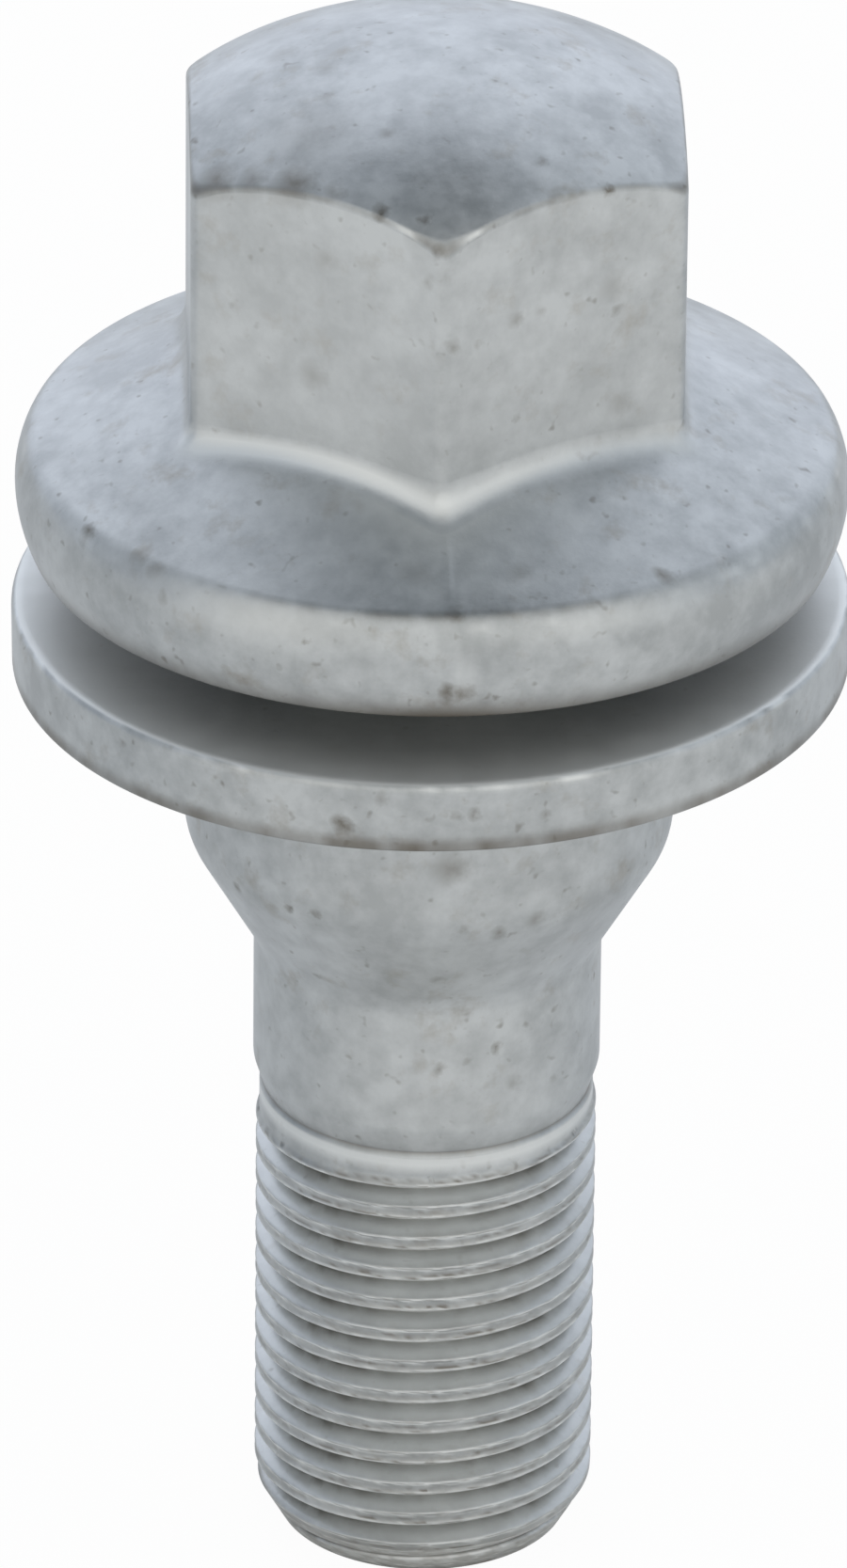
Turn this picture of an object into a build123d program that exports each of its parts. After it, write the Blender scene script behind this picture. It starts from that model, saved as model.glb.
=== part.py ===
"""Wheel bolt with a captive washer, standing on its thread end.

The bolt is one forging: a domed hexagon on a cone-topped flange, a neck for the loose washer, a round spigot that
runs down in a seat cone to the shank, a relief and the thread. The thread is a cylinder at its major diameter.
The washer is a flat ring that is trapped on the neck between the flange and the spigot.

Millimetres and degrees. The origin is the centre of the end face, and +Z runs up the axis to the head.
"""

import os
from math import hypot, radians, sqrt, tan

from build123d import *

# Thread, its end and the relief above it
thread_diameter = 12.0
thread_length = 17.04
end_face_diameter = 10.3
end_chamfer_height = 1.5
relief_diameter = 11.68
relief_length = 0.16
runout_height = 0.16
shank_taper_height = 1.0

# Shank, seat cone and spigot
shank_diameter = 12.2
shank_length = 4.99
seat_cone_angle = 60.0
spigot_diameter = 17.1
spigot_length = 6.5
shank_to_cone_radius = 2.0
cone_to_spigot_radius = 3.0

# Neck and captive washer
neck_diameter = 15.4
neck_clearance = 0.25
shoulder_slope = 45.0
shoulder_clearance = 0.1
washer_overhang = 0.15
washer_thickness = 2.65
washer_play = 2.15
washer_lower_chamfer = 0.45
washer_upper_chamfer = 0.15

# Flange
flange_diameter = 28.8
flange_rim_height = 3.76
flange_rim_radius = 3.2
flange_belly_height = 2.1
flange_cone_slope = 26.0
flange_top_edge_chamfer = 0.25

# Hexagon and its domed end
hex_across_flats = 17.0
hex_corner_radius = 0.6
hex_foot_radius = 1.0
head_height = 18.8
dome_radius = 15.8
dome_edge_chamfer = 0.25

# Radii that several features share
thread_r = thread_diameter / 2
relief_r = relief_diameter / 2
shank_r = shank_diameter / 2
spigot_r = spigot_diameter / 2
neck_r = neck_diameter / 2
washer_bore_r = neck_r + neck_clearance
neck_corner = neck_clearance * 0.8
washer_mouth_r = spigot_r + shoulder_clearance
flange_r = flange_diameter / 2
rim_arc_r = flange_r - flange_rim_radius
flange_underside_r = rim_arc_r + sqrt(flange_rim_radius**2 - flange_belly_height**2)
flange_top_edge_r = rim_arc_r + sqrt(flange_rim_radius**2 - (flange_rim_height - flange_belly_height) ** 2)
washer_r = flange_r + washer_overhang
hex_corner_r = hex_across_flats / sqrt(3)

# Heights up the axis, from the end face
relief_z = thread_length + runout_height
shank_taper_z = relief_z + relief_length
shank_z = shank_taper_z + shank_taper_height
cone_z = shank_z + shank_length
spigot_z = cone_z + (spigot_r - shank_r) / tan(radians(seat_cone_angle / 2))
shoulder_z = spigot_z + spigot_length
neck_z = shoulder_z + (spigot_r - neck_r) * tan(radians(shoulder_slope))
washer_z = shoulder_z
washer_mouth_z = washer_z + (washer_mouth_r - washer_bore_r) * tan(radians(shoulder_slope))
washer_top_z = washer_z + washer_thickness
flange_z = washer_top_z + washer_play
flange_belly_z = flange_z + flange_belly_height
flange_top_edge_z = flange_z + flange_rim_height
flange_cone_apex_z = flange_top_edge_z + flange_top_edge_r * tan(radians(flange_cone_slope))
dome_z = flange_z + head_height


def corner(section, r, z):
    """The corner of a section that lies nearest to radius r and height z."""
    return section.vertices().sort_by_distance((r, z))[0]


def on_hexagon(edge):
    """True for an edge that runs along the hexagon's flats and corners."""
    middle = edge.position_at(0.5)
    return hex_across_flats / 2 - hex_corner_radius < hypot(middle.X, middle.Y) < hex_corner_r


# Hexagon of the bolt's head, with a corner towards -Y and its end domed by a sphere that lies on its side
with BuildPart() as hexagon:
    with BuildSketch(Plane.XY.offset(flange_top_edge_z)) as hexagon_section:
        RegularPolygon(radius=hex_corner_r, side_count=6, rotation=-90)
        fillet(hexagon_section.vertices(), hex_corner_radius)
    extrude(amount=head_height)
    with Locations((0, 0, dome_z - dome_radius)):
        Sphere(dome_radius, rotation=(0, 90, 0), mode=Mode.INTERSECT)


# Bolt: the turned form first, from the end face up to the flange's cone
with BuildPart() as bolt:
    with BuildSketch(Plane.XZ) as turned_section:
        with BuildLine():
            Polyline(
                (0, flange_cone_apex_z),
                (0, 0),
                (end_face_diameter / 2, 0),
                (thread_r, end_chamfer_height),
                (thread_r, thread_length),
                (relief_r, relief_z),
                (relief_r, shank_taper_z),
                (shank_r, shank_z),
                (shank_r, cone_z),
                (spigot_r, spigot_z),
                (spigot_r, shoulder_z),
                (neck_r, neck_z),
                (neck_r, flange_z - neck_corner),
                (neck_r + neck_corner, flange_z),
                (flange_underside_r, flange_z),
            )
            ThreePointArc(
                (flange_underside_r, flange_z),
                (flange_r, flange_belly_z),
                (flange_top_edge_r, flange_top_edge_z),
            )
            Line((flange_top_edge_r, flange_top_edge_z), (0, flange_cone_apex_z))
        make_face()
        fillet(corner(turned_section, shank_r, cone_z), shank_to_cone_radius)
        fillet(corner(turned_section, spigot_r, spigot_z), cone_to_spigot_radius)
        chamfer(corner(turned_section, flange_top_edge_r, flange_top_edge_z), flange_top_edge_chamfer)
    revolve(axis=Axis.Z)

    # Hexagon rising out of the flange
    add(hexagon)

    # Rounded foot of the hexagon on the flange, and broken edge between its flats and the dome
    flange_top = bolt.faces().filter_by(GeomType.CONE).sort_by(Axis.Z)[-1]
    fillet(flange_top.edges().filter_by(on_hexagon), hex_foot_radius)
    dome = bolt.faces().filter_by(GeomType.SPHERE).sort_by(Axis.Z)[-1]
    chamfer(dome.edges().filter_by(on_hexagon), dome_edge_chamfer)

bolt.part.label = "bolt"


# Captive washer: a flat ring, its bore opened out below to sit over the spigot's shoulder
with BuildPart() as captive_washer:
    with BuildSketch(Plane.XZ) as ring_section:
        with BuildLine():
            Polyline(
                (washer_bore_r, washer_mouth_z),
                (washer_mouth_r, washer_z),
                (washer_r, washer_z),
                (washer_r, washer_top_z),
                (washer_bore_r, washer_top_z),
                close=True,
            )
        make_face()
        chamfer(corner(ring_section, washer_r, washer_z), washer_lower_chamfer)
        chamfer(corner(ring_section, washer_r, washer_top_z), washer_upper_chamfer)
    revolve(axis=Axis.Z)

captive_washer.part.label = "captive_washer"


os.makedirs("parts", exist_ok=True)
export_step(bolt.part, "parts/bolt.step")
export_step(captive_washer.part, "parts/captive_washer.step")
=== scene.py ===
"""Wheel bolt with a captive washer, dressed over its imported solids.

Lengths are in millimetres, from the centre of the thread's end face, and become metres where a mesh is made.
"""

import bmesh
import bpy
import numpy as np
from mathutils import Matrix, Vector


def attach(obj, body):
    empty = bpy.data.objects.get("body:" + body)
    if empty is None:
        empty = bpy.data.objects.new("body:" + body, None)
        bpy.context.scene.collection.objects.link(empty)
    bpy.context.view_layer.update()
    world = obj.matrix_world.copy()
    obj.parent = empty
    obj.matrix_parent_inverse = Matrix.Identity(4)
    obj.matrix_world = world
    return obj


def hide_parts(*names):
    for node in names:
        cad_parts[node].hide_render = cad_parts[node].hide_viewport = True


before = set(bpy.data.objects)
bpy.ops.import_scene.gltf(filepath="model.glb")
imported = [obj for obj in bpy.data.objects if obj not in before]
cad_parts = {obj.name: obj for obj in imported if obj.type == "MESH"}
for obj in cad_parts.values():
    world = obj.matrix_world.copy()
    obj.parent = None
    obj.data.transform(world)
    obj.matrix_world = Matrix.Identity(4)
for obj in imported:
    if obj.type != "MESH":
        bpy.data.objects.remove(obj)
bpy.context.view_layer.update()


# Bolt: one cold forging of steel with a rolled M12 x 1.25 right-hand thread. A domed hexagon rises out of a
# flange with a cone top, and below the washer's neck come a spigot, a seat cone, a shank and the thread.
# It is coated with matt zinc flake, which is rubbed bright on the sharp edges, and painted shade darkens
# the thread's roots.

# Hexagon, which runs a little under its nominal 17 mm as real ones do, with one corner to the front. The arc
# radius turns an angle into a length along its surface.
hex_across_flats = 16.88
hex_corner_radius = 0.6
front = np.radians(270)
hex_arc_r = 9.5


def corner_angle(azimuth):
    """Angle from the nearest of the hexagon's corners, one of which is at the front."""
    return (azimuth - front + np.pi / 6) % (np.pi / 3) - np.pi / 6


def hexagon_radius(azimuth, across_flats, corner_radius):
    """Distance from the axis to a hexagon with rounded corners.

    On a flat it is half the width over the cosine of the angle from the flat's middle. On a corner the ray
    meets the rounding circle, whose centre lies on the corner's own line.
    """
    half = across_flats / 2
    from_corner = corner_angle(azimuth)
    from_middle = np.pi / 6 - np.abs(from_corner)
    centre = (half - corner_radius) / np.cos(np.pi / 6)
    reach = np.sqrt(np.maximum(corner_radius**2 - (centre * np.sin(from_corner)) ** 2, 0))
    on_corner = half * np.tan(from_middle) > (half - corner_radius) * np.tan(np.pi / 6)
    return np.where(on_corner, centre * np.cos(from_corner) + reach, half / np.cos(from_middle))


# Columns of the grid: 28 steps along each flat and 8 round each corner, from the back once round to the back
flat_steps, corner_steps = 28, 8
half_width = hex_across_flats / 2
flat_end = np.arctan((half_width - hex_corner_radius) * np.tan(np.pi / 6) / half_width)
along_flat = np.arctan(np.linspace(-1, 1, flat_steps + 1)[:-1] * np.tan(flat_end))
round_corner = np.linspace(flat_end, np.pi / 3 - flat_end, corner_steps + 1)[:-1]
sixths = np.radians(120 + 60 * np.arange(6))[:, None] + np.concatenate([along_flat, round_corner])
azimuth = np.append(sixths.ravel(), sixths[0, 0] + 2 * np.pi)
everywhere = np.ones_like(azimuth)
round_front = azimuth - front
from_front = hex_arc_r * round_front
from_corner = hex_arc_r * np.abs(corner_angle(azimuth))

# Dome, its worn edge, the foot of the flats and the flange's cone
dome_top = 57.6868
dome_radius = 15.8
dome_rows = 25
dome_edge = 0.16
corner_wear = 0.2
foot_height = 0.62
foot_width = 0.75
corner_foot = 0.2
cone_apex = 49.4505
cone_fall = np.tan(np.radians(26))
cone_arc_r = 12
rim_edge_r = 13.45


def dome_z(r):
    """Height of the dome: its centre, plus the root of its radius squared less r squared."""
    return dome_top - dome_radius + np.sqrt(dome_radius**2 - r**2)


def cone_z(r):
    """Height of the flange's cone: its apex less the fall over that distance."""
    return cone_apex - cone_fall * r


def hump(away, width):
    """Bell that is 1 at no distance and falls as e to the minus square of the distance over the width."""
    return np.exp(-((away / width) ** 2))


def run(start, end, fractions):
    """Straight rows from start to end, at the given fractions of the way."""
    part = np.asarray(fractions)[:, None, None]
    return (1 - part) * start + part * end


def bend(start, corner, end, steps):
    """Rows of a parabola that leaves start towards the corner and arrives at end from it."""
    w = np.linspace(0, 1, steps)[:, None, None]
    return (1 - w) ** 2 * start + 2 * w * (1 - w) * corner + w**2 * end


# Head: the sphere of the dome, its edge, the flats, their foot and the flange's cone. Each column has its own
# radius, the edge is worn and the foot is wider at the corners, and the die left a faint line down the cone.
wider_foot = corner_foot * hump(from_corner, 1.4)
hex_r = hexagon_radius(azimuth, hex_across_flats, hex_corner_radius)
foot_r = hexagon_radius(azimuth, hex_across_flats + 2 * foot_width, hex_corner_radius + 0.3 * foot_width)
foot_r = foot_r + wider_foot
edge_size = dome_edge + corner_wear * hump(from_corner, 0.7)
dome_r = np.linspace(0, 1, dome_rows)[:, None] * (hex_r - edge_size)
dome = np.stack([dome_r, dome_z(dome_r)], axis=1)
edge_corner = np.stack([hex_r, dome_z(hex_r)])
edge_low = edge_corner - np.stack([0 * edge_size, edge_size])
edge = bend(dome[-1], edge_corner, edge_low, 8)[1:]
foot_corner = np.stack([hex_r, cone_z(hex_r)])
foot_top = foot_corner + np.stack([0 * wider_foot, foot_height + wider_foot])
flats = run(edge_low, foot_top, [0.008, 0.25, 0.5, 0.75, 0.992])
foot = bend(foot_top, foot_corner, np.stack([foot_r, cone_z(foot_r)]), 9)
cone_end = np.stack([rim_edge_r * everywhere, cone_z(rim_edge_r) * everywhere])
cone = run(foot[-1], cone_end, [0.02, 0.2, 0.4, 0.6, 0.8])
die_line_angle, die_line_width, die_line_height = 0.012, 0.13, 0.02
die_line = hump((round_front - die_line_angle) * cone_arc_r, die_line_width)
cone[1:, 1] += die_line_height * die_line

# Flange's rim, from the cone down to the underside
flange_r = 14.4
flange_top_edge = 42.6535
rim_belly = 40.9935
flange_underside = 38.8935
rim_rows = 22
upper_draw, lower_draw = 0.17, 0.115

# Neck, spigot, seat cone and shank
neck_r = 7.7
neck_bottom = 34.9435
spigot_r = 8.55
shoulder = 34.0935
spigot_bottom = 27.5935
shank_r = 6.1
cone_bottom = 23.35
shank_edge = 18.35

# Taper under the shank, and the smooth ring over the thread
taper_r = 5.78
taper_end = 17.36
ring_r = 5.88
ring_top = 17.2
thread_top = 16.9


def rounded(profile, steps=7, guard=0.06):
    """Profile with rounded corners: rows of distance from the axis, height and radius, 0 for a sharp corner.

    The bend starts and ends at radius x tan(half the turn) from the corner, and one more point stands a
    guard's length outside each end of it, so that the straight run beyond keeps its own shade.
    """
    profile = np.array(profile)
    points = profile[:, :2]
    pieces = [points[:1]]
    for before, corner, after, radius in zip(points, points[1:], points[2:], profile[1:, 2]):
        if radius == 0:
            pieces.append(corner[None])
            continue
        back = (before - corner) / np.linalg.norm(before - corner)
        ahead = (after - corner) / np.linalg.norm(after - corner)
        cut = radius / np.tan(np.arccos(np.clip(back @ ahead, -1, 1)) / 2)
        w = np.linspace(0, 1, steps)[:, None]
        curve = corner + cut * ((1 - w) ** 2 * back + w**2 * ahead)
        pieces += [corner + (cut + guard) * back[None], curve, corner + (cut + guard) * ahead[None]]
    return np.concatenate(pieces + [points[-1:]])


# Turned part: the barrel rim, the hidden neck, the spigot, the seat cone, the shank, its taper and the ring.
# The rim draws in from its belly by the square of the height. The third number is a corner's rounding.
rim_z = np.append(flange_top_edge, np.linspace(flange_top_edge - 0.5, flange_underside, rim_rows))
draw_in = np.where(rim_z > rim_belly, upper_draw, lower_draw) * (rim_z - rim_belly) ** 2
barrel = np.stack([flange_r - draw_in, rim_z, 0 * rim_z], axis=1)
barrel[0, 2], barrel[-1, 2] = 1.0, 0.12
turned = rounded(
    [
        (rim_edge_r, cone_z(rim_edge_r), 0),
        *barrel,
        (neck_r, flange_underside, 0.15),
        (neck_r, neck_bottom, 0.15),
        (spigot_r, shoulder, 0.15),
        (spigot_r, spigot_bottom, 3.0),
        (shank_r, cone_bottom, 2.0),
        (shank_r, shank_edge, 1.0),
        (taper_r, taper_end, 0.06),
        (ring_r, ring_top, 0.1),
        (ring_r, thread_top, 0),
    ]
)
turned = turned[:, :, None] * everywhere

# Rolled thread, the height of its crest at the front, and the chamfered end
pitch = 1.25
crest_r = 6.0
crest_front = 15.08
lip = 0.2
end_r = 5.15
end_chamfer = 1.5

# Thread: rows that follow the helix, at the places of one pitch where the form bends, a crest lip above and
# below the shallow seam that rolling leaves on the crest. Half a turn of the groove runs out at the back, so
# that a smooth ring is left over the front of the last crest. The rows stop there and at the end face.
form_at = [0, 0.1, 0.16, lip, 0.235, 0.27, 0.4, 0.53, 0.605, pitch / 2]
form_r = [5.945, 5.962, 5.99, crest_r, 5.982, 5.935, 5.7, 5.465, 5.33, 5.31]
groove_from, run_out_turns = 0.75, 0.5
one_pitch = np.concatenate([form_at[:0:-1], -np.array(form_at)[:-1]])
turns = np.arange(3, -15, -1) * pitch
place = (turns[:, None] + one_pitch).ravel()
lead = pitch * round_front / (2 * np.pi)
thread_z = np.clip(crest_front + lead + place[:, None], 0, thread_top)
from_front_crest = (thread_z - crest_front - lead) / pitch
from_crest = pitch * (from_front_crest - np.round(from_front_crest))
along_helix = np.floor(from_front_crest) + lead / pitch
full = np.clip((groove_from - along_helix) / run_out_turns, 0, 1)
full = full * full * (3 - 2 * full)
thread_r = ring_r + full * (np.interp(np.abs(from_crest), form_at, form_r) - ring_r)
thread_r = np.minimum(thread_r, end_r + (crest_r - end_r) * thread_z / end_chamfer)
thread = np.stack([thread_r, thread_z], axis=1)
end_face = run(np.stack([end_r * everywhere, 0 * everywhere]), np.zeros((2, 1)), [0.02, 0.5, 1])


def broken(along, lengths):
    """Irregular 0 to 1 along a line: the sum of waves of unrelated lengths, clipped to separate dashes."""
    waves = sum(np.sin(2 * np.pi * along / size + 1.7 * k) for k, size in enumerate(lengths))
    return np.clip(0.5 + 0.6 * waves, 0, 1)


# Two attributes of the points run from 0 to 1: one for rubbed bare metal and painted light, and one for
# dirt, dark binder and painted shade. A bell's place and width are in millimetres, or in radians where it
# runs round the axis.
bands = {
    "dome": dome,
    "edge": edge,
    "flats": flats,
    "foot": foot,
    "cone": cone,
    "turned": turned,
    "thread": thread,
    "end_face": end_face,
}
burnish = {name: np.zeros_like(band[:, 0]) for name, band in bands.items()}
grime = {name: np.zeros_like(band[:, 0]) for name, band in bands.items()}
front_side = hump(round_front, 0.8)

# Hexagon's upper edge: bright nicks beside its corners, most at the front one, dirt between them, and
# painted shade at each corner, which dulls its highlight
hex_path = hex_arc_r * azimuth
down_edge = np.sin(np.linspace(0, np.pi, len(edge)))[:, None]
nicks = 0.3 * hump(from_corner - 1.2, 0.4) * broken(hex_path, [6.1, 2.7, 1.9])
nicks += 0.7 * hump(from_front + 1.35, 0.32) + 0.7 * hump(from_front - 1.1, 0.36)
edge_dirt_and_shade = 0.05 + 0.4 * hump(from_corner, 0.6) + 0.2 * broken(hex_path, [4.7, 2.1, 1.3])
burnish["edge"] = down_edge * nicks
grime["edge"] = down_edge * (1 - nicks) * edge_dirt_and_shade

# Flats, their foot and the cone: the foot of the two front flats has a painted highlight, more to the left,
# as far as their outer corners, and painted light goes on down the front of the cone
# The flats are a little brighter than the coat. Painted light makes the left ones lighter than the right, and
# painted shade dulls them at the corners.
burnish["flats"] += 0.22 - 0.05 * np.tanh(from_front) - 0.1 * hump(from_corner, 0.4)
down_foot = np.linspace(0, 1, len(foot))[:, None]
on_front_flats = np.clip((10.6 - np.abs(from_front)) / 1.2, 0, 1)
foot_highlight = 0.53 + 0.25 * (1 - hump(from_front, 2.5)) - 0.25 * np.tanh(from_front / 2)
foot_highlight -= 0.22 * np.clip((from_front - 2) / 4, 0, 1)
foot_highlight = (foot_highlight + 0.02 * np.abs(from_front)) * on_front_flats
front_sheen = hump(round_front + 0.07, 0.4)
burnish["foot"] = 0.2 * (1 - down_foot) + foot_highlight * np.sin(np.pi * down_foot) ** 2
burnish["foot"] += 0.7 * front_sheen * down_foot**2
burnish["cone"] = np.array([0.75, 0.5, 0.35, 0.3, 0.25])[:, None] * front_sheen

# Rim: a short bright scrape at the front, nicks along its top edge, and a wider painted highlight on each
# side of the front below that edge. Painted shade darkens the rim towards its underside, most at the front,
# and dirt lies in specks along the top edge.
turned_z = turned[:, 1]
rim_inner_r, rim_arc_r = 12, 14
on_rim = turned[:, 0] > rim_inner_r
scrape_z, nicks_z, highlight_z = 40.7, 42.35, 42.1
rim_path = rim_arc_r * azimuth
scrape = 0.35 * hump(round_front - 0.045, 0.02) * hump(turned_z - scrape_z, 0.9)
top_nicks = 0.4 * hump(turned_z - nicks_z, 0.18) * broken(rim_path, [8.3, 3.7]) * broken(rim_path, [2.3, 1.2])
to_right = np.tanh(round_front / 0.3)
side_highlight = 0.42 * hump(turned_z - highlight_z, 0.6 - 0.2 * to_right) * hump(np.abs(round_front) - 0.5, 0.28)
side_highlight *= 1 - 0.25 * to_right
under_rim = on_rim * hump(turned_z - flange_underside, 0.65) * (0.55 + 0.4 * hump(round_front, 0.2))
top_specks = 0.35 * hump(turned_z - flange_top_edge - 0.03, 0.1) * broken(rim_path, [5.3, 2.2, 1.1])
top_specks *= hump(round_front, 0.6)

# Below the washer: painted light brightens the spigot and the seat cone a little at the front, and the shank
# twice as much. The ring over the thread is bright, with painted shade in the step above it.
below_washer, on_shank, above_ring = turned_z < 33, turned_z < 23, turned_z > 17.6
ring_burnish = 0.75
on_ring = ring_burnish * np.clip((ring_top + 0.05 - turned_z) / 0.15, 0, 1)
burnish["turned"] = np.maximum(on_ring, on_rim * np.maximum.reduce([scrape, top_nicks, side_highlight]))
burnish["turned"] += 0.07 * below_washer * above_ring * (1 + on_shank) * front_side
step_shade = 0.5 * hump(turned_z - taper_end, 0.07)
grime["turned"] = np.maximum.reduce([under_rim, top_specks, step_shade])

# Thread: the crest's lips are rubbed, the upper one in dashes. Painted light brightens the flanks, more at
# the front. Painted shade darkens the roots, wider towards the sides, and also the crest's seam and the upper
# lip between its dashes, most at the front. Dirt lies in flecks on the crest and round the end.
path = crest_r * (azimuth + 2 * np.pi * (thread_z - lead) / pitch)
dashes = broken(path, [6.7, 2.9, 1.6, 0.8])
lower_lip = hump(from_crest + lip, 0.06) * (0.35 + 0.65 * broken(path, [4.9, 2.1, 1.2, 0.6]))
upper_lip = hump(from_crest - 0.16, 0.07) * dashes
depth = np.clip((np.abs(from_crest) - lip) / (pitch / 2 - lip), 0, 1)
flank_light = (0.36 + 0.34 * front_side) * depth**0.2
run_out = ring_burnish * (1 - full) * np.clip((thread_z - thread_top) / 0.4 + 1, 0, 1)
burnish["thread"] = np.maximum(full * np.maximum.reduce([lower_lip, upper_lip, flank_light]), run_out)
from_root = (from_crest + pitch) % pitch - pitch / 2
to_side = hump(np.abs(round_front) - 0.85, 0.35)
root_width = 0.09 + 0.1 * to_side * broken(path, [5.9, 2.3, 1.1])
root_shade = full * hump(from_root - 0.05, root_width) * (0.65 + 0.35 * broken(path, [4.3, 1.9, 0.9]))
root_shade *= 1 - 0.4 * hump(round_front, 0.5)
seam_shade = full * hump(from_crest + 0.06, 0.11) * (0.4 - 0.15 * dashes)
lip_shade = full * hump(from_crest - lip, 0.06) * 0.35 * (1 - dashes)
crest_shade = np.maximum(seam_shade, lip_shade) * (0.3 + 0.7 * front_side)
flecks = broken(path, [4.7, 2.3, 1.1, 0.6]) ** 2 * broken(path, [9.1, 3.9])
flecks *= full * 0.9 * hump(from_crest + 0.1, 0.17) * (0.5 + 0.5 * front_side)
end_dirt = (0.12 + 0.3 * broken(path, [3.1, 1.3, 0.7])) * np.clip(1.9 - thread_z, 0, 1)
grime["thread"] = np.maximum.reduce([root_shade, crest_shade, flecks, end_dirt])


def grid_mesh(name, points, **attributes):
    """Mesh of quads between the points of a grid, its seam and poles joined, with point attributes."""
    rows, columns = points.shape[:2]
    index = np.arange(rows * columns).reshape(rows, columns)
    quads = np.stack([index[:-1, :-1], index[1:, :-1], index[1:, 1:], index[:-1, 1:]], axis=-1)
    mesh = bpy.data.meshes.new(name)
    mesh.from_pydata((points.reshape(-1, 3) * 0.001).tolist(), [], quads.reshape(-1, 4).tolist())
    for key, values in attributes.items():
        layer = mesh.attributes.new(key, "FLOAT", "POINT")
        layer.data.foreach_set("value", values.ravel().astype(np.float32))
    joined = bmesh.new()
    joined.from_mesh(mesh)
    bmesh.ops.remove_doubles(joined, verts=joined.verts, dist=2e-7)
    joined.to_mesh(mesh)
    joined.free()
    mesh.shade_smooth()
    piece = bpy.data.objects.new(name, mesh)
    bpy.context.scene.collection.objects.link(piece)
    return piece


rows = np.concatenate(list(bands.values()))
points = np.stack([rows[:, 0] * np.cos(azimuth), rows[:, 0] * np.sin(azimuth), rows[:, 1]], axis=-1)
bolt = grid_mesh(
    "forged_bolt",
    points,
    burnish=np.concatenate(list(burnish.values())),
    grime=np.concatenate(list(grime.values())),
)


def linear(code):
    """Linear colour of an sRGB hex value: a straight toe, and above it a power of 2.4."""
    srgb = np.array([int(code[i : i + 2], 16) for i in (1, 3, 5)]) / 255
    rgb = np.where(srgb <= 0.04045, srgb / 12.92, ((srgb + 0.055) / 1.055) ** 2.4)
    return (*rgb, 1.0)


def add(tree, kind, inputs, **settings):
    """Add a node with its settings, and set each input to a value or link it to a socket."""
    node = tree.nodes.new(kind)
    for key, value in settings.items():
        setattr(node, key, value)
    for key, value in inputs.items():
        if isinstance(value, bpy.types.NodeSocket):
            tree.links.new(value, node.inputs[key])
        else:
            node.inputs[key].default_value = value
    return node


def per_metre(size):
    """Scale of a pattern whose features are size millimetres across."""
    return 1000.0 / size


# Zinc flake coating, dipped and baked: matt silver-grey flakes in a thin binder. The eye sees cloudy patches
# some millimetres across, brown stains, small dark pits, and brighter metal where it is rubbed. The flakes
# are far too fine to show, so the grain is drawn 0.14 mm across.
zinc = bpy.data.materials.new("zinc_flake_on_forged_steel")
zinc.use_nodes = True
tree = zinc.node_tree
tree.nodes.clear()
place_on = add(tree, "ShaderNodeTexCoord", {}).outputs["Object"]

# Patterns of the coating: size of the features in millimetres, detail and roughness
patterns = {
    "cloud": (3.5, 4.0, 0.5),
    "stain": (1.7, 4.0, 0.65),
    "mottle": (1.0, 4.0, 0.6),
    "speck": (0.45, 1.0, 0.5),
    "grain": (0.14, 2.0, 0.5),
}
noise = {}
for pattern, (size, detail, roughness) in patterns.items():
    noise[pattern] = add(
        tree,
        "ShaderNodeTexNoise",
        {"Vector": place_on, "Scale": per_metre(size), "Detail": detail, "Roughness": roughness},
    )
cloud, stain, mottle, speck, grain = (noise[pattern].outputs["Fac"] for pattern in patterns)
blend = add(tree, "ShaderNodeMath", {0: cloud, 1: 0.9, 2: mottle}, operation="MULTIPLY_ADD")
tone = add(tree, "ShaderNodeMapRange", {"Value": blend.outputs["Value"], "From Min": 0.73, "From Max": 1.17})
stains = add(tree, "ShaderNodeMapRange", {"Value": stain, "From Min": 0.57, "From Max": 0.79, "To Max": 0.7})
pits = add(tree, "ShaderNodeMapRange", {"Value": speck, "From Min": 0.69, "From Max": 0.84, "To Max": 0.7})
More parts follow.
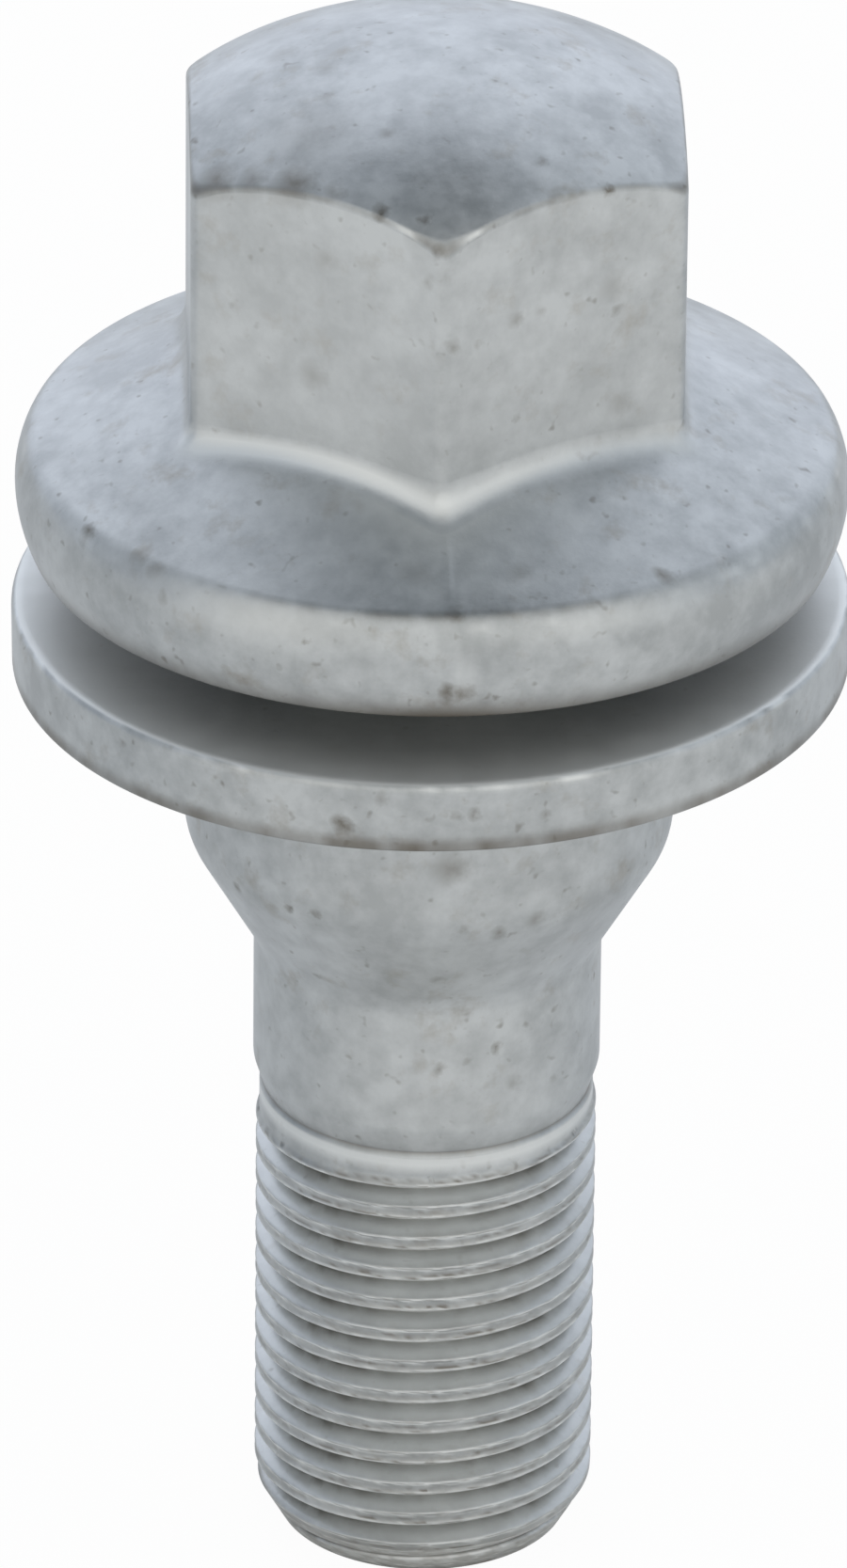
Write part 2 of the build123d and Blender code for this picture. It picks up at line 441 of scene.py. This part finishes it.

# Pits and smudges that stand out on this bolt and its washer, placed one by one from the dome down to the
# shank: x, y, z and radius in millimetres, and how dark it is. The wide faint one at the front of the dome,
# at 0.3, -7.7, 55.5, is painted shade rather than a stain.
marks = [
    (-7.6, -5.1, 54.8, 0.9, 0.65), (-5.0, -6.5, 55.3, 1.0, 0.75), (-2.1, -8.3, 55.1, 0.4, 0.9),
    (-6.4, -5.8, 55.1, 0.8, 0.45), (-3.6, -7.2, 55.4, 0.5, 0.4), (0.3, -7.7, 55.5, 2.2, 0.15),
    (-0.6, -8.7, 55.1, 0.34, 0.8), (5.6, -6.4, 55.1, 0.28, 0.9), (3.3, -6.3, 56.0, 0.3, 0.5),
    (-4.6, -4.6, 56.2, 2.4, 0.2), (-5.2, 0.7, 56.8, 0.7, 0.3), (-8.2, -0.4, 55.4, 0.2, 0.6),
    (-3.8, -1.2, 57.2, 0.6, 0.3), (-1.9, -5.3, 56.7, 0.35, 0.4), (-3.9, -3.0, 56.9, 0.35, 0.4),
    (-4.3, -7.3, 48.5, 0.7, 0.5), (-4.0, -7.5, 53.0, 0.6, 0.45), (0.4, -9.6, 50.8, 0.4, 0.6),
    (1.3, -9.1, 50.6, 0.24, 0.5), (2.5, -8.4, 51.1, 0.4, 0.55), (3.4, -7.9, 51.2, 0.32, 0.4),
    (6.0, -6.4, 51.4, 0.8, 0.4), (6.0, -6.3, 50.4, 0.24, 0.6), (2.7, -8.3, 47.3, 0.24, 0.9),
    (6.2, -6.2, 46.8, 0.6, 0.35), (-0.5, -9.5, 53.1, 0.35, 0.45), (-0.2, -9.6, 54.2, 0.35, 0.5),
    (-7.6, -5.4, 45.5, 0.17, 0.9), (4.8, -7.3, 45.4, 0.24, 0.95), (5.4, -6.7, 45.8, 0.2, 0.8),
    (-12.0, -7.2, 42.5, 0.45, 0.9), (-10.2, -9.2, 42.7, 0.5, 0.4), (-9.6, -10.0, 42.5, 0.5, 0.7),
    (-1.0, -12.2, 43.5, 0.7, 0.35), (2.5, -12.1, 43.4, 0.6, 0.35), (7.5, -11.2, 42.9, 0.5, 0.7),
    (0.2, -13.8, 42.7, 0.4, 0.7), (-9.4, -10.7, 41.9, 0.28, 0.5), (0.1, -14.2, 40.0, 0.5, 1.0),
    (0.6, -14.2, 40.0, 0.5, 1.0), (1.7, -14.1, 39.8, 0.24, 1.0), (-4.7, -13.5, 41.6, 0.2, 0.8),
    (-13.0, -5.3, 39.6, 0.24, 0.5), (-3.4, -14.1, 34.9, 0.45, 0.9), (0.5, -14.5, 35.4, 0.27, 0.5),
    (1.1, -14.5, 35.4, 0.27, 0.5), (-2.0, -14.4, 36.0, 0.35, 0.4), (3.4, -14.1, 35.2, 0.25, 0.5),
    (-10.8, -9.7, 35.8, 0.25, 0.4), (0.5, -8.5, 30.1, 0.9, 0.65), (-6.8, -4.9, 27.5, 0.27, 0.7),
    (-5.0, -6.8, 27.7, 0.27, 0.9), (-4.1, -7.4, 27.8, 0.27, 0.9), (0.9, -8.4, 27.6, 0.28, 0.6),
    (2.2, -8.1, 27.4, 0.36, 0.7), (3.5, -7.7, 27.7, 0.55, 0.5), (0.1, -7.0, 24.9, 0.32, 0.5),
    (0.3, -6.1, 20.9, 0.36, 0.8), (1.2, -6.0, 21.2, 0.24, 0.7), (2.3, -5.6, 21.5, 0.28, 0.8),
    (2.8, -5.4, 20.0, 0.4, 0.4), (4.4, -4.3, 19.4, 0.28, 0.5),
]

# The mottle moves each place by up to a millimetre, half of one on the whole, which makes the marks ragged.
# A mark falls off evenly from its peak in the middle to nothing at its radius.
ragged_by, mark_peak = 0.001, 1.2
ragged = add(
    tree,
    "ShaderNodeVectorMath",
    {0: noise["mottle"].outputs["Color"], 1: (ragged_by,) * 3, 2: place_on},
    operation="MULTIPLY_ADD",
).outputs["Vector"]
for x, y, z, radius, dark in marks:
    spot = tuple(0.001 * length + ragged_by / 2 for length in (x, y, z))
    away = add(tree, "ShaderNodeVectorMath", {0: ragged, 1: spot}, operation="DISTANCE").outputs["Value"]
    peak, fall = mark_peak * dark, mark_peak * dark / (0.001 * radius)
    mark = add(tree, "ShaderNodeMath", {0: away, 1: -fall, 2: peak}, operation="MULTIPLY_ADD")
    pits = add(tree, "ShaderNodeMath", {0: pits.outputs[0], 1: mark.outputs["Value"]}, operation="MAXIMUM")

# Colours, each laid over the one before it: dull flake, bright flake, stains, pits, rubbed metal with painted
# light, and dirt with painted shade
per_point = {key: add(tree, "ShaderNodeAttribute", {}, attribute_name=key) for key in ("burnish", "grime", "matt")}
coat = linear("#a4a7a7")
for share, code in (
    (tone.outputs["Result"], "#bfc2c2"),
    (stains.outputs["Result"], "#948f85"),
    (pits.outputs[0], "#78756e"),
    (per_point["burnish"].outputs["Fac"], "#e4e6e4"),
    (per_point["grime"].outputs["Fac"], "#645d52"),
):
    layer = add(tree, "ShaderNodeMix", {"Factor": share, 6: coat, 7: linear(code)}, data_type="RGBA")
    coat = layer.outputs[2]

# Roughness follows the mottle, and matt places are rougher. The relief is hundredths of a millimetre deep.
matt_rougher, relief_depth = 0.24, 0.00003
flake_rough = add(
    tree,
    "ShaderNodeMapRange",
    {"Value": mottle, "From Min": 0.3, "From Max": 0.7, "To Min": 0.3, "To Max": 0.38},
)
rough = add(
    tree,
    "ShaderNodeMath",
    {0: per_point["matt"].outputs["Fac"], 1: matt_rougher, 2: flake_rough.outputs["Result"]},
    operation="MULTIPLY_ADD",
)
swell = add(tree, "ShaderNodeMath", {0: cloud, 1: 0.6, 2: mottle}, operation="MULTIPLY_ADD")
relief = add(tree, "ShaderNodeMath", {0: grain, 1: 0.35, 2: swell.outputs["Value"]}, operation="MULTIPLY_ADD")
bump = add(
    tree, "ShaderNodeBump", {"Height": relief.outputs["Value"], "Strength": 0.28, "Distance": relief_depth}
)
coating = add(
    tree,
    "ShaderNodeBsdfPrincipled",
    {
        "Base Color": coat,
        "Metallic": 0.8,
        "Roughness": rough.outputs["Value"],
        "Normal": bump.outputs["Normal"],
    },
)
add(tree, "ShaderNodeOutputMaterial", {"Surface": coating.outputs["BSDF"]})
bolt.data.materials.append(zinc)
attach(bolt, "bolt")
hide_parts("bolt")


# Captive washer: a flat ring stamped from steel plate and coated as the bolt is. It sits loose on the neck,
# over the spigot's shoulder, and leans a little to the left in its clearance. It is thinner than the solid
# by that lean, so that at the top of its play it comes up to the flange without cutting into it.

washer_bore_r = 7.95
washer_mouth_r = 8.71
washer_r = 14.538
washer_bottom = 34.0435
washer_top = 36.5935
mouth_height = 0.76
bore_middle = 35.5
washer_lean = np.radians(0.6)
edge_rows = (1.0, 0.75, 0.6, 0.45, 0.3)
section = rounded(
    [
        (washer_bore_r, bore_middle, 0),
        (washer_bore_r, washer_top, 0.12),
        (washer_r, washer_top, 0.4),
        *((washer_r, washer_bottom + rise, 0) for rise in edge_rows),
        (washer_r, washer_bottom, 0.15),
        (washer_mouth_r, washer_bottom, 0.1),
        (washer_bore_r, washer_bottom + mouth_height, 0.1),
        (washer_bore_r, bore_middle, 0),
    ]
)
washer_azimuth = np.linspace(0, 2 * np.pi, 193)
ring = section[:, :, None] * np.ones_like(washer_azimuth)
from_axis, level = ring[:, 0], ring[:, 1]

# The ring is turned about a line from front to back through its own middle
across, up_ring = from_axis * np.cos(washer_azimuth), level - (washer_bottom + washer_top) / 2
points = np.stack(
    [
        across * np.cos(washer_lean) - up_ring * np.sin(washer_lean),
        from_axis * np.sin(washer_azimuth),
        level - up_ring + across * np.sin(washer_lean) + up_ring * np.cos(washer_lean),
    ],
    axis=-1,
)

# Dirt lies along the lower edge, most at the front. Painted shade darkens the top face under the flange,
# and towards its rim the top face gets more matt and lighter with painted light. The upper edge has bright
# nicks.
washer_arc_r = 14.5
washer_path = washer_arc_r * washer_azimuth
lower_dirt = np.exp(-(((level - washer_bottom) / 0.5) ** 4)) * (from_axis > 13.9)
lower_dirt *= 0.4 + 0.3 * broken(washer_path, [7.1, 2.6, 1.3])
lower_dirt *= 1 + 0.3 * hump(washer_azimuth - front, 0.15)
upper_nicks = 0.8 * hump(level - washer_top + 0.12, 0.12) * (from_axis > 14)
upper_nicks *= broken(washer_path, [9.7, 4.3]) * broken(washer_path, [2.9, 1.3])
top_face = level > washer_top - 0.05
to_rim = top_face * np.clip((from_axis - 8) / 6, 0, 1)
washer = grid_mesh(
    "captive_ring",
    points,
    burnish=np.maximum(to_rim**4, upper_nicks),
    grime=np.maximum(lower_dirt, 0.5 * top_face * (1 - to_rim)),
    matt=to_rim,
)
washer.data.materials.append(zinc)
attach(washer, "washer")
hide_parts("captive_washer")


# Table: a plain white board far wider than the bolt, painted matt. It glows white to the camera, and in
# reflections too, where the glow fades out behind the bolt and to its left as a painted shadow of the bolt.
# It still takes the bolt's real shadow.

table_reach, table_drop = 1.5, 0.00002
corners = ((-1, -1), (1, -1), (1, 1), (-1, 1))
table_mesh = bpy.data.meshes.new("table")
table_mesh.from_pydata(
    [(x * table_reach, y * table_reach, -table_drop) for x, y in corners], [], [(0, 1, 2, 3)]
)
table = bpy.data.objects.new("table", table_mesh)
bpy.context.scene.collection.objects.link(table)
board = bpy.data.materials.new("white_board")
board.use_nodes = True
tree = board.node_tree
tree.nodes.clear()
paint = add(tree, "ShaderNodeBsdfDiffuse", {"Color": linear("#f4f3f0")})
glow = add(tree, "ShaderNodeEmission", {"Color": linear("#ffffff"), "Strength": 1.0})
ray = add(tree, "ShaderNodeLightPath", {}).outputs
mirrored = add(
    tree, "ShaderNodeMath", {0: ray["Is Glossy Ray"], 1: ray["Is Transmission Ray"]}, operation="MAXIMUM"
)

# Distances in metres from the bolt's axis, forwards and a little to the right, between which the reflected
# glow comes up to its full share. Nearer and behind, the reflections show the painted shadow of the bolt.
glow_direction, glow_from, glow_to = (0.27, -0.963, 0.0), -0.01, 0.045
seen_share, mirrored_share = 0.96, 0.68
board_place = add(tree, "ShaderNodeTexCoord", {}).outputs["Object"]
out = add(tree, "ShaderNodeVectorMath", {0: board_place, 1: glow_direction}, operation="DOT_PRODUCT")
falloff = add(
    tree,
    "ShaderNodeMapRange",
    {
        "Value": out.outputs["Value"],
        "From Min": glow_from,
        "From Max": glow_to,
        "To Min": 0.0,
        "To Max": mirrored_share,
    },
)
mirrored = add(
    tree, "ShaderNodeMath", {0: mirrored.outputs["Value"], 1: falloff.outputs["Result"]}, operation="MULTIPLY"
)
seen = add(tree, "ShaderNodeMath", {0: ray["Is Camera Ray"], 1: seen_share}, operation="MULTIPLY")
share = add(tree, "ShaderNodeMath", {0: seen.outputs[0], 1: mirrored.outputs[0]}, operation="MAXIMUM")
surface = add(tree, "ShaderNodeMixShader", {0: share.outputs[0], 1: paint.outputs[0], 2: glow.outputs[0]})
add(tree, "ShaderNodeOutputMaterial", {"Surface": surface.outputs[0]})
table_mesh.materials.append(board)


# Studio: a room with a bright wall behind the bolt, bluish grey ones at its sides, a plain pale one in front
# and a dark ceiling, and one wide soft lamp in front. The ceiling's dark patch is two degrees off upright.

world = bpy.data.worlds.new("studio")
bpy.context.scene.world = world
world.use_nodes = True
tree = world.node_tree
tree.nodes.clear()
ceiling_axis = (-0.032, 0.017, 0.9993)
direction = add(tree, "ShaderNodeTexCoord", {}).outputs["Generated"]
axes = add(tree, "ShaderNodeSeparateXYZ", {0: direction}).outputs
height = add(tree, "ShaderNodeVectorMath", {0: direction, 1: ceiling_axis}, operation="DOT_PRODUCT")
elevation = add(tree, "ShaderNodeMath", {0: height.outputs["Value"]}, operation="ARCSINE")
bearing = add(tree, "ShaderNodeMath", {0: axes["X"], 1: axes["Y"]}, operation="ARCTAN2")
bearing = add(tree, "ShaderNodeMath", {0: bearing.outputs["Value"]}, operation="ABSOLUTE")
aside = add(tree, "ShaderNodeMapRange", {"Value": axes["X"], "From Min": -1.0, "From Max": 1.0})

# From the left wall's colour on, each wall is laid over the one before it: its angle, the two degrees between
# which it comes in, and its colour. The bearing is counted from behind the bolt, and elevation from level.
wall = add(
    tree,
    "ShaderNodeMix",
    {"Factor": aside.outputs["Result"], 6: linear("#9ea5af"), 7: linear("#bac1ca")},
    data_type="RGBA",
)
for angle, begins, ends, code in (
    (bearing, 74, 17, "#ecf2ff"),
    (bearing, 90, 135, "#cbcbca"),
    (elevation, 60.5, 81.5, "#3f4c56"),
):
    part = add(
        tree,
        "ShaderNodeMapRange",
        {"Value": angle.outputs["Value"], "From Min": np.radians(begins), "From Max": np.radians(ends)},
        interpolation_type="SMOOTHSTEP",
    )
    wall = add(
        tree,
        "ShaderNodeMix",
        {"Factor": part.outputs["Result"], 6: wall.outputs[2], 7: linear(code)},
        data_type="RGBA",
    )
light = add(tree, "ShaderNodeBackground", {"Color": wall.outputs[2], "Strength": 1.4})
add(tree, "ShaderNodeOutputWorld", {"Surface": light.outputs[0]})

lamp = bpy.data.lights.new("front_softbox", "AREA")
lamp.shape, lamp.size, lamp.size_y, lamp.energy = "RECTANGLE", 1.0, 0.6, 0.4
softbox = bpy.data.objects.new("front_softbox", lamp)
softbox.location = (0.15, -0.62, 0.34)
bolt_middle = Vector((0, 0, 0.03))
softbox.rotation_euler = (bolt_middle - softbox.location).to_track_quat("-Z", "Y").to_euler()
bpy.context.scene.collection.objects.link(softbox)


# Camera: a long lens about half a metre away, 28 degrees above the table, a little to the left of the front
# corner. The sensor's width lies along the longer side of the picture, which is its height.

camera_azimuth, camera_height, camera_roll = np.radians(-2.0), np.radians(28.219), np.radians(0.556)
camera_distance, focal_pixels, image_height = 531.1, 16172.7, 1667
look_at = Vector((-0.193, 0.007, 28.883))
back = Vector(
    (
        np.sin(camera_azimuth) * np.cos(camera_height),
        -np.cos(camera_azimuth) * np.cos(camera_height),
        np.sin(camera_height),
    )
)
right = Vector((np.cos(camera_azimuth), np.sin(camera_azimuth), 0))
up = back.cross(right)
tilted_right = right * np.cos(camera_roll) + up * np.sin(camera_roll)
lens = bpy.data.cameras.new("camera")
lens.sensor_width = 36.0
lens.lens = focal_pixels * lens.sensor_width / image_height
camera = bpy.data.objects.new("camera", lens)
turn = Matrix((tilted_right, back.cross(tilted_right), back)).transposed().to_4x4()
camera.matrix_world = Matrix.Translation((look_at + camera_distance * back) * 0.001) @ turn
bpy.context.scene.collection.objects.link(camera)
bpy.context.scene.camera = camera
bpy.context.scene.view_settings.view_transform = "Standard"
